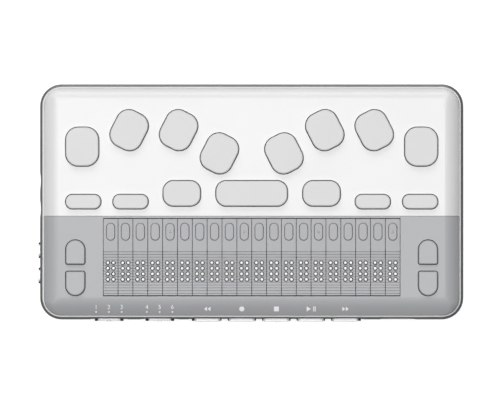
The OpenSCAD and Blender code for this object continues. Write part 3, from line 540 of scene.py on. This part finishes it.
def make_marks():
    """White signs behind the media buttons, and dots with plain numbers behind the sliders."""
    height = deck_surface()
    y = MEDIA_MARK_Y
    for node, way in (("previous_button", -1), ("next_button", 1)):
        x = middle_x(node)
        pair = [arrow(x + side * ARROW_STEP / 2, y, ARROW_W, ARROW_H, way) for side in (-1, 1)]
        lay_marks("mark_" + node, pair, height)
    lay_marks("mark_record_button", [disc(middle_x("record_button"), y, RECORD_D / 2)], height)
    lay_marks("mark_stop_button", [box_outline(middle_x("stop_button"), y, STOP_W, STOP_W)], height)
    x = middle_x("play_button")
    play = [arrow(x + PLAY_DX, y, PLAY_W, PLAY_H, 1)]
    play += [box_outline(x + dx, y, BAR_W, PLAY_H) for dx in BAR_DX]
    lay_marks("mark_play_button", play, height)
    number = 0
    for node in SLIDERS:
        places = [middle_x(node) + n * SWITCH_DOT_STEP for n in (-1, 0, 1)]
        dots = [disc(x, SWITCH_DOT_Y, SWITCH_DOT_D / 2) for x in places]
        lay_marks("mark_" + node, dots, height)
        for x in places:
            number += 1
            lay_number(f"mark_number_{number}", str(number), x, SWITCH_NUMBER_Y, height)


# Dark blocks of painted shade beside the sliders and buttons

def add_shield(mesh, low_x, high_x, low_y, high_y, tall=SHADE_BLOCK_H):
    """A block of painted shade at the height of the caps between two places along X and two along
    Y.
    """
    low = (min(low_x, high_x), min(low_y, high_y), CONTROL_Z - tall / 2)
    high = (max(low_x, high_x), max(low_y, high_y), CONTROL_Z + tall / 2)
    add_box(mesh, low, high)


def make_slider_shields(front_y):
    """Blocks of painted shade at both ends of each slider and in the grooves of its grip, which
    slide along with it.
    """
    for node in SLIDERS:
        mesh = bmesh.new()
        x = middle_x(node)
        for side in (-1, 1):
            inner = x + side * (SLIDER_W / 2 - SHADE_BLOCK_SUNK)
            outer = x + side * (SLIDER_W / 2 + SLIDER_SHADE_BLOCK)
            add_shield(mesh, inner, outer, front_y - SHADE_BLOCK_OUT, front_y + SLIDER_SHADE_BLOCK_IN)
            # Painted shade: a dark block in each groove of the grip
            groove_x = x + side * GRIP_STEP
            add_shield(mesh, groove_x - GRIP_SHADE_W / 2, groove_x + GRIP_SHADE_W / 2,
                       front_y - GRIP_SHADE_OUT, front_y - GRIP_SHADE_SUNK, GRIP_SHADE_H)
        add_piece("shade_block_" + node, mesh, MATERIALS["feet"], node)


def make_media_shields(front_y):
    """Blocks of painted shade on the frame at both ends of each media button, wider at the ends of
    the row.
    """
    for i, node in enumerate(MEDIA_BUTTONS):
        mesh = bmesh.new()
        for side in (-1, 1):
            at_end = i + side in (-1, len(MEDIA_BUTTONS))
            inner = middle_x(node) + side * (MEDIA_W / 2 + SHADE_BLOCK_AIR)
            outer = inner + side * (MEDIA_END_SHADE_BLOCK if at_end else MEDIA_SHADE_BLOCK)
            add_shield(mesh, inner, outer, front_y - SHADE_BLOCK_OUT, front_y + SCOOP_H + SHADE_BLOCK_SUNK)
        add_piece("shade_block_" + node, mesh, MATERIALS["feet"], "case")


def make_volume_shields(left_x):
    """Blocks of painted shade on the frame at both ends of each volume button."""
    for node in VOLUME_BUTTONS:
        mesh = bmesh.new()
        for side in (-1, 1):
            inner = middle_y(node) + side * (VOLUME_W / 2 + SHADE_BLOCK_AIR)
            outer = inner + side * VOLUME_SHADE_BLOCK
            add_shield(mesh, left_x - VOLUME_SHADE_BLOCK_OUT, left_x + SHADE_BLOCK_SUNK, inner, outer)
        add_piece("shade_block_" + node, mesh, MATERIALS["feet"], "case")


def make_shields():
    """Small black blocks of painted shade at the ends of the openings round the moving caps."""
    left_x, front_y, _ = [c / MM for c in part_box("side_frame")[0]]
    make_slider_shields(front_y)
    make_media_shields(front_y)
    make_volume_shields(left_x)


# Sockets

def make_jack_rings():
    """A bright rounded ring on the nose of each audio jack."""
    nose_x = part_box("side_frame")[0][0] / MM + JACK_IN
    section = [
        (RING_SOFT, RING_INNER),
        (RING_SOFT - RING_T, RING_INNER),
        (-RING_T, RING_INNER + RING_SOFT),
        (-RING_T, RING_OUTER - RING_SOFT),
        (RING_SOFT - RING_T, RING_OUTER),
        (RING_SOFT, RING_OUTER),
    ]
    for i, y in enumerate(JACK_YS):
        mesh = bmesh.new()
        loops = []
        for turn in range(RING_SIDES):
            a = 2 * math.pi * turn / RING_SIDES
            loop = []
            for x, r in section:
                place = Vector((nose_x + x, y + r * math.cos(a), CONTROL_Z + r * math.sin(a)))
                loop.append(mesh.verts.new(place * MM))
            loops.append(loop)
        for turn in range(RING_SIDES):
            here, there = loops[turn - 1], loops[turn]
            for n in range(len(section)):
                mesh.faces.new((here[n - 1], here[n], there[n], there[n - 1]))
        ring = add_piece(f"jack_ring_{i + 1}", mesh, NICKEL, "case")
        ring.data.shade_smooth()
        ring.data.set_sharp_from_angle(angle=math.radians(RING_SHARP))


def make_port_tongue():
    """The contact tongue in the middle of the charging port."""
    rear_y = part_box("side_frame")[1][1] / MM
    mesh = bmesh.new()
    low = (PORT_X - TONGUE_W / 2, rear_y - TONGUE_FRONT, CONTROL_Z - TONGUE_H / 2)
    high = (PORT_X + TONGUE_W / 2, rear_y - TONGUE_REAR, CONTROL_Z + TONGUE_H / 2)
    add_box(mesh, low, high)
    add_piece("port_tongue", mesh, MATERIALS["piezo"], "case")


# Stage

def make_camera():
    """A camera straight above the object that sees what the photograph shows."""
    data = bpy.data.cameras.new("camera")
    data.sensor_width = SENSOR
    data.lens = SENSOR * (CAMERA_Z - TOP_Z) / (PHOTO_W * PIXEL)
    data.clip_end = CAMERA_REACH * MM
    camera = link(bpy.data.objects.new("camera", data))
    camera.location = (VIEW_X * MM, VIEW_Y * MM, CAMERA_Z * MM)
    bpy.context.scene.camera = camera


def make_area_light(name, place, size, power, shape):
    """A soft light that faces the object."""
    data = bpy.data.lights.new(name, "AREA")
    data.shape = shape
    data.size = size[0] * MM
    data.size_y = size[1] * MM
    data.energy = power
    light = link(bpy.data.objects.new(name, data))
    light.location = [c * MM for c in place]
    light.rotation_euler = (-Vector(place)).to_track_quat("-Z", "Y").to_euler()


def make_light():
    """The studio lights, a dark world round them, and colours shown as they are."""
    make_area_light("panel", PANEL_AT, PANEL_SIZE, PANEL_POWER, "DISK")
    make_area_light("rear", REAR_AT, REAR_SIZE, REAR_POWER, "RECTANGLE")
    make_area_light("left", LEFT_AT, LEFT_SIZE, LEFT_POWER, "RECTANGLE")
    make_area_light("front", FRONT_AT, FRONT_SIZE, FRONT_POWER, "RECTANGLE")
    world = bpy.data.worlds.new("studio")
    world.use_nodes = True
    background = world.node_tree.nodes["Background"]
    background.inputs["Color"].default_value = BLACK
    bpy.context.scene.world = world
    bpy.context.scene.view_settings.view_transform = "Standard"


def add_sheet(name, material, height_mm):
    """A square sheet of the stage, level and centred under the object."""
    half = FLOOR_HALF * MM
    corners = [(-half, -half, 0), (half, -half, 0), (half, half, 0), (-half, half, 0)]
    data = bpy.data.meshes.new(name)
    data.from_pydata(corners, [], [(0, 1, 2, 3)])
    data.materials.append(material)
    sheet = link(bpy.data.objects.new(name, data))
    sheet.location.z = height_mm * MM
    return sheet


def make_floor():
    """A pale floor, and on it a thin glow that whitens the ground and lights nothing."""
    material, _, shader, _ = new_material("pale_floor")
    shader.inputs["Base Color"].default_value = shade(FLOOR_TONE)
    shader.inputs["Specular IOR Level"].default_value = 0.0
    add_sheet("floor", material, 0)
    material, links, shader, add = new_material("ground_glow")
    clear = add("BsdfTransparent")
    light = add("Emission", Strength=GLOW)
    both = add("AddShader")
    links.new(clear.outputs["BSDF"], both.inputs[0])
    links.new(light.outputs["Emission"], both.inputs[1])
    links.new(both.outputs["Shader"], shader.outputs["BSDF"].links[0].to_socket)
    glow = add_sheet("ground_glow", material, GLOW_Z)
    glow.visible_diffuse = False
    glow.visible_glossy = False
    glow.visible_shadow = False


dress_nodes()
make_marks()
make_shields()
make_jack_rings()
make_port_tongue()
make_camera()
make_light()
make_floor()
